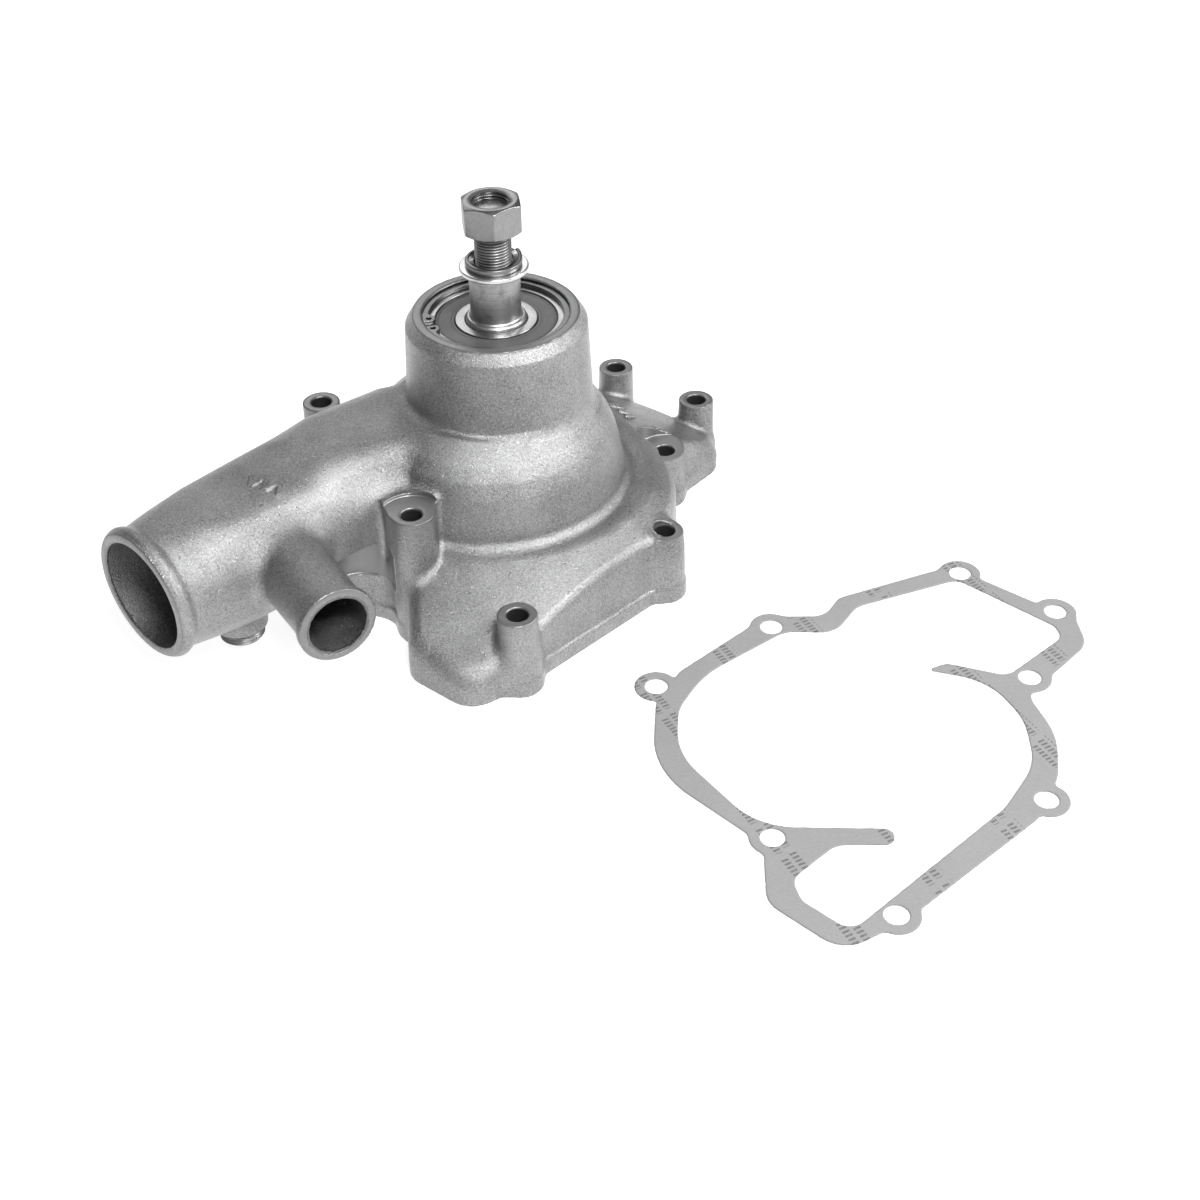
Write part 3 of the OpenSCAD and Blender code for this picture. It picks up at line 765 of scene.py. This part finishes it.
def build_gasket():
    """The paper gasket lying beside the pump, cut from sheet, with slightly soft edges."""
    cos_t, sin_t = math.cos(GASKET_TURN), math.sin(GASKET_TURN)

    def field(x, y, z):
        dx, dy = x - GASKET_AT[0], y - GASKET_AT[1]
        u = dx * cos_t + dy * sin_t
        v = -dx * sin_t + dy * cos_t
        shape = flange_table(u, v)
        for bx, by, _ in BOLTS:
            shape = join(shape, np.hypot(u - bx, v - by) - LUG_R, 2.0)
        shape = np.maximum(shape, -opening_table(u, v))
        for bx, by, _ in BOLTS:
            shape = np.maximum(shape, 5.6 - np.hypot(u - bx, v - by))
        return overlap(shape, np.abs(z - GASKET_T / 2) - GASKET_T / 2, 0.15)

    step = 0.5
    low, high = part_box("mounting_gasket")
    low = np.array(low) / MM - 2
    high = np.array(high) / MM + 2
    low[2] = GASKET_T / 2 - step * 4
    points, quads = polygonise(field, low, (high[0], high[1], 3.0), step)
    points[:, 2] = np.clip(points[:, 2], 0, GASKET_T)
    return mesh_object("gasket_paper_cut", points, quads)


# ---------------------------------------------------------------- shaders
class Shader:
    """A procedural material, built node by node on the object's own coordinates."""

    def __init__(self, name, **surface):
        self.material = bpy.data.materials.new(name)
        self.material.use_nodes = True
        self.tree = self.material.node_tree
        self.surface = self.tree.nodes["Principled BSDF"]
        for key, value in surface.items():
            self.surface.inputs[key.replace("_", " ")].default_value = value
        self.place = self.add("TexCoord").outputs["Object"]

    def add(self, kind, *values, **settings):
        node = self.tree.nodes.new("ShaderNode" + kind)
        for key, value in settings.items():
            setattr(node, key, value)
        for socket, value in zip(node.inputs, values):
            self.put(socket, value)
        return node

    def put(self, socket, value):
        if value is None:
            return
        if isinstance(value, bpy.types.NodeSocket):
            self.tree.links.new(value, socket)
        else:
            socket.default_value = value

    def math(self, operation, a, b=0.0, c=0.0):
        return self.add("Math", a, b, c, operation=operation).outputs[0]

    def scaled(self, x, y, z):
        node = self.add("Mapping", self.place)
        node.inputs["Scale"].default_value = (x, y, z)
        return node.outputs[0]

    def noise(self, scale, detail=2.0, roughness=0.5, place=None):
        node = self.add("TexNoise")
        self.put(node.inputs["Vector"], place or self.place)
        node.inputs["Scale"].default_value = scale
        node.inputs["Detail"].default_value = detail
        node.inputs["Roughness"].default_value = roughness
        return node.outputs["Fac"]

    def spread(self, value, low, high, to_low=0.0, to_high=1.0):
        node = self.add("MapRange", value, low, high, to_low, to_high)
        return node.outputs[0]

    def blend(self, factor, a, b):
        node = self.add("Mix", data_type="RGBA")
        self.put(node.inputs[0], factor)
        self.put(node.inputs[6], a)
        self.put(node.inputs[7], b)
        return node.outputs[2]

    def attribute(self, name):
        node = self.add("Attribute")
        node.attribute_name = name
        return node.outputs["Fac"]

    def bump(self, height, strength, distance):
        node = self.add("Bump")
        node.inputs["Strength"].default_value = strength
        node.inputs["Distance"].default_value = distance
        self.put(node.inputs["Height"], height)
        self.put(self.surface.inputs["Normal"], node.outputs[0])
        return node

    def set(self, **links):
        for key, value in links.items():
            self.put(self.surface.inputs[key.replace("_", " ")], value)
        return self.material


PRINT_TURN = 62.0
PRINT_BAND_EVERY = 0.047
PRINT_BAND = 0.0104
PRINT_ROW = 0.0052
PRINT_ROW_HIGH = 0.0034


def grey(value):
    return (value, value, value * 1.005, 1.0)


def cast_aluminium():
    """Silver-painted sand casting: a sandy grain, lost where the surface was machined."""
    s = Shader("cast_aluminium_silver", Metallic=0.85)
    cutoff = s.attribute("machined")
    inside = s.attribute("inside")
    fine = s.noise(1600, 4.0, 0.75)
    sand = s.noise(900, 2.0, 0.6)
    lumps = s.noise(300, 2.0, 0.5)
    waves = s.noise(60, 3.0, 0.55)
    tone = s.noise(24, 3.0, 0.55)
    grain = s.math("ADD", s.math("MULTIPLY", fine, 0.7), s.math("MULTIPLY", sand, 0.4))
    grain = s.math("ADD", grain, s.math("MULTIPLY", lumps, 0.14))
    grain = s.math("ADD", grain, s.math("MULTIPLY", waves, 0.7))
    keep = s.spread(cutoff, 0.0, 1.0, 1.0, 0.06)
    rough_inside = s.spread(inside, 0.0, 1.0, 1.0, 2.2)
    height = s.math("MULTIPLY", s.math("MULTIPLY", grain, keep), rough_inside)
    s.bump(height, 0.9, 0.00052)
    light = s.math("ADD", s.math("MULTIPLY", fine, 0.45), s.math("MULTIPLY", sand, 0.3))
    light = s.math("ADD", light, s.math("MULTIPLY", tone, 0.25))
    painted = s.blend(s.spread(light, 0.4, 0.6), grey(0.16), grey(0.425))
    bare = s.blend(fine, grey(0.2), grey(0.3))
    colour = s.blend(cutoff, painted, bare)
    # Painted shade: the hollows and bolt holes are blended towards dark grey.
    hollow_shaded = s.blend(s.math("MULTIPLY", inside, 0.25), colour, grey(0.08))
    roughness = s.math("ADD", s.spread(lumps, 0.3, 0.7, 0.27, 0.33), s.math("MULTIPLY", cutoff, 0.14))
    return s.set(Base_Color=hollow_shaded, Roughness=roughness)


def shade_grooves(s, colour, root):
    """Painted shade in the roots of a thread, darkest at the root."""
    return s.blend(s.spread(s.attribute("groove"), 0.25, 0.85, 0.0, 0.85), colour, grey(root))


def turned_steel(name, low, high, rough, marks=2600.0, stain=0.0, metallic=1.0):
    """Steel with fine rings left by the lathe, which run round the shaft's axis."""
    s = Shader(name, Metallic=metallic)
    rings = s.noise(1.0, 2.0, 0.6, s.scaled(30, 30, marks))
    fine = s.noise(900, 3.0, 0.6)
    tone = s.noise(90, 3.0, 0.6)
    mixed = s.math("ADD", s.math("MULTIPLY", rings, 0.6), s.math("MULTIPLY", tone, 0.4))
    colour = s.blend(s.spread(mixed, 0.3, 0.7), grey(low), grey(high))
    if stain:
        spots = s.spread(s.noise(160, 4.0, 0.65), 0.52, 0.7, 0.0, stain)
        colour = s.blend(spots, colour, grey(low * 0.45))
    # Painted shade in the thread roots.
    colour = shade_grooves(s, colour, low * 0.12)
    s.bump(s.math("ADD", rings, s.math("MULTIPLY", fine, 0.4)), 0.35, 0.00006)
    return s.set(Base_Color=colour, Roughness=s.spread(fine, 0.3, 0.7, rough - 0.05, rough + 0.08))


def plain_metal(name, low, high, rough, bump=0.00008, metallic=1.0, scale=600.0, tint=None):
    s = Shader(name, Metallic=metallic)
    fine = s.noise(scale, 4.0, 0.6)
    tone = s.noise(scale / 8, 3.0, 0.55)
    mixed = s.math("ADD", s.math("MULTIPLY", fine, 0.5), s.math("MULTIPLY", tone, 0.5))
    a, b = grey(low), grey(high)
    if tint:
        a = tuple(c * low for c in tint) + (1.0,)
        b = tuple(c * high for c in tint) + (1.0,)
    s.bump(fine, 0.5, bump)
    # Painted shade in any thread roots marked on the mesh.
    return s.set(
        Base_Color=shade_grooves(s, s.blend(s.spread(mixed, 0.3, 0.7), a, b), low * 0.15),
        Roughness=s.spread(tone, 0.3, 0.7, rough - 0.06, rough + 0.08),
    )


def rubber(name, low=0.03, high=0.06, rough=0.55):
    return plain_metal(name, low, high, rough, 0.00006, 0.0, 900.0)


def gasket_paper():
    """Fibrous grey sheet with rows of plain dashes printed across it in slanting bands."""
    s = Shader("gasket_paper_grey", Roughness=0.85)
    fibre = s.noise(1.0, 4.0, 0.7, s.scaled(500, 1600, 800))
    speck = s.noise(1500, 2.0, 0.6)
    tone = s.noise(30, 2.0, 0.5)
    mixed = s.math("ADD", s.math("MULTIPLY", fibre, 0.5), s.math("MULTIPLY", speck, 0.3))
    mixed = s.math("ADD", mixed, s.math("MULTIPLY", tone, 0.2))
    paper = s.blend(s.spread(mixed, 0.35, 0.65), grey(0.235), grey(0.295))
    turned = s.add("Mapping", s.place)
    turned.inputs["Rotation"].default_value = (0, 0, math.radians(PRINT_TURN))
    axes = s.add("SeparateXYZ", turned.outputs[0])
    along, across = axes.outputs[0], axes.outputs[1]
    row = s.math("FLOOR", s.math("DIVIDE", across, PRINT_ROW))
    shifted = s.math("ADD", along, s.math("MULTIPLY", row, 0.0017))
    in_band = s.math("LESS_THAN", s.math("FLOORED_MODULO", across, PRINT_BAND_EVERY), PRINT_BAND)
    in_row = s.math("LESS_THAN", s.math("FLOORED_MODULO", across, PRINT_ROW), PRINT_ROW_HIGH)
    stroke_of = s.math("FLOORED_MODULO", shifted, 0.0023)
    dash = s.math("LESS_THAN", stroke_of, 0.0012)
    word = s.math("LESS_THAN", s.math("FLOORED_MODULO", shifted, 0.0207), 0.0165)
    ink = s.math("MULTIPLY", s.math("MULTIPLY", in_band, in_row), s.math("MULTIPLY", dash, word))
    ink = s.math("MULTIPLY", ink, s.spread(speck, 0.3, 0.6, 0.35, 0.8))
    s.bump(mixed, 0.4, 0.00008)
    return s.set(Base_Color=s.blend(ink, paper, grey(0.07)))


def dress(name, material, bevel=0.0):
    """Gives a CAD node its material and soft edges."""
    obj = NODES[name]
    obj.data.materials.clear()
    obj.data.materials.append(material)
    if bevel:
        weld = obj.modifiers.new("weld", "WELD")
        weld.merge_threshold = 0.000002
        soft = obj.modifiers.new("soft_edges", "BEVEL")
        soft.width = bevel * MM
        soft.segments = 2
        soft.limit_method = "ANGLE"
        soft.angle_limit = math.radians(35)
        soft.harden_normals = True


def stand_for(obj, node, body, material):
    """Puts a modelled piece in place of a CAD node."""
    obj.data.materials.append(material)
    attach(obj, body)
    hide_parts(node)
    return obj


aluminium = cast_aluminium()
shaft_steel = turned_steel("shaft_steel", 0.30, 0.48, 0.4, stain=0.5)
nut_steel = plain_metal("nut_steel_zinc", 0.24, 0.35, 0.36, 0.00012, 1.0, 600.0)
bright_steel = turned_steel("washer_steel_bright", 0.6, 0.75, 0.3)
dark_steel = plain_metal("spring_steel_dark", 0.16, 0.26, 0.36)
bearing_steel = turned_steel("bearing_steel_ground", 0.34, 0.48, 0.3, 4000.0)
ball_steel = plain_metal("ball_steel_polished", 0.7, 0.8, 0.12, 0.00001)
brass = plain_metal("brass_satin", 0.8, 1.0, 0.35, tint=(0.75, 0.58, 0.3))
seal_rubber = rubber("seal_rubber_black")
front_seal_rubber = rubber("front_seal_rubber", 0.055, 0.085, 0.42)
carbon = plain_metal("carbon_lapped", 0.05, 0.09, 0.3, 0.00003, 0.0)
ceramic = plain_metal("ceramic_lapped", 0.75, 0.82, 0.2, 0.00002, 0.0)
iron = plain_metal("impeller_cast_iron", 0.2, 0.3, 0.6, 0.0004, 0.6, 700.0)
paper = gasket_paper()

stand_for(build_housing(), "pump_housing", "housing", aluminium)
stand_for(build_shaft(), "drive_shaft", "rotor", shaft_steel)
stand_for(build_nut(), "pulley_nut", "nut", nut_steel)
stand_for(build_flat_washer(), "flat_washer", "rotor", bright_steel)
stand_for(build_lock_washer(), "spring_lock_washer", "lock_washer", dark_steel)
stand_for(build_clip(), "bearing_retaining_ring", "housing", dark_steel)
stand_for(build_front_seal(), "front_bearing_upper_seal", "housing", front_seal_rubber)
stand_for(
    build_ring("front_outer_ring_ground", [
        (30.3, 116.5, 0.3), (35.95, 116.5, 0.8), (35.95, BEARING_TOP, 0.9), (30.3, BEARING_TOP, 0.3),
        (30.3, 129.5, 0.2), (31.6, 129.5, 0.2), (31.6, 122.5, 0.2), (30.3, 122.5, 0.2),
    ]),
    "front_bearing_outer_ring", "housing", bearing_steel,
)
stand_for(
    build_ring("front_inner_ring_ground", [
        (15.05, 116.5, 0.8), (20.2, 116.5, 0.3), (20.2, 122.5, 0.2), (19.3, 122.5, 0.2),
        (19.3, 129.5, 0.2), (20.2, 129.5, 0.2), (20.2, BEARING_TOP, 0.35), (15.05, BEARING_TOP, 1.0),
    ]),
    "front_bearing_inner_ring", "rotor", bearing_steel,
)
stand_for(build_plug(), "pipe_plug", "housing", shaft_steel)
stand_for(build_gasket(), "mounting_gasket", "gasket", paper)

dress("impeller", iron, 0.5)
for node in ("front_bearing_lower_shield", "rear_bearing_outer_ring", "rear_bearing_inner_ring"):
    dress(node, bearing_steel, 0.25)
for node in ("bearing_spacer_tube", "slinger_disc"):
    dress(node, shaft_steel, 0.2)
for node in ("front_bearing_balls", "rear_bearing_balls"):
    dress(node, ball_steel)
for node in ("front_bearing_cage", "rear_bearing_cage", "seal_cartridge_cup"):
    dress(node, brass, 0.15)
for node in ("grease_lip_seal", "seal_bellows", "mating_ring_rubber_cup"):
    dress(node, seal_rubber, 0.2)
dress("seal_spring", bright_steel)
dress("seal_carbon_ring", carbon, 0.15)
dress("seal_mating_ring", ceramic, 0.15)


# ---------------------------------------------------------------- studio
def pale_floor():
    size = 4.0
    mesh = bpy.data.meshes.new("studio_floor")
    mesh.from_pydata(
        [(-size, -size, -0.0003), (size, -size, -0.0003), (size, size, -0.0003), (-size, size, -0.0003)],
        [], [(0, 1, 2, 3)],
    )
    floor = bpy.data.objects.new("studio_floor", mesh)
    bpy.context.scene.collection.objects.link(floor)
    s = Shader("floor_white", Roughness=0.9, Base_Color=(0.35, 0.35, 0.35, 1), Emission_Strength=0.86)
    s.surface.inputs["Emission Color"].default_value = (1, 1, 1, 1)
    mesh.materials.append(s.material)


def soft_light(name, place, target, size, power, size_y=None):
    data = bpy.data.lights.new(name, "AREA")
    data.shape = "RECTANGLE"
    data.size = size
    data.size_y = size_y or size
    data.energy = power
    light = bpy.data.objects.new(name, data)
    light.location = place
    light.rotation_euler = (Vector(target) - Vector(place)).to_track_quat("-Z", "Y").to_euler()
    bpy.context.scene.collection.objects.link(light)


pale_floor()
soft_light("front_soft_box", (0.3, -0.75, 1.05), (0, 0, 0.08), 0.45, 16.5, 0.35)
soft_light("right_soft_box", (1.15, -0.05, 0.8), (0, 0, 0.08), 0.5, 13.0, 0.5)
soft_light("back_soft_box", (-0.3, 0.9, 0.9), (0, 0, 0.08), 1.0, 4.2, 0.7)
world = bpy.data.worlds.new("studio")
world.use_nodes = True
world.node_tree.nodes["Background"].inputs["Color"].default_value = (1, 1, 1, 1)
world.node_tree.nodes["Background"].inputs["Strength"].default_value = 0.17
bpy.context.scene.world = world
bpy.context.scene.view_settings.view_transform = "Standard"

camera_data = bpy.data.cameras.new("camera")
camera_data.lens = 53.4
camera_data.sensor_width = 36
camera = bpy.data.objects.new("camera", camera_data)
camera.location = (0.0493, -0.7721, 0.5658)
tilt = Matrix.Rotation(math.radians(51.81), 4, "X")
roll = Matrix.Rotation(math.radians(-0.62), 4, "Z")
camera.rotation_euler = (tilt @ roll).to_euler()
bpy.context.scene.collection.objects.link(camera)
bpy.context.scene.camera = camera
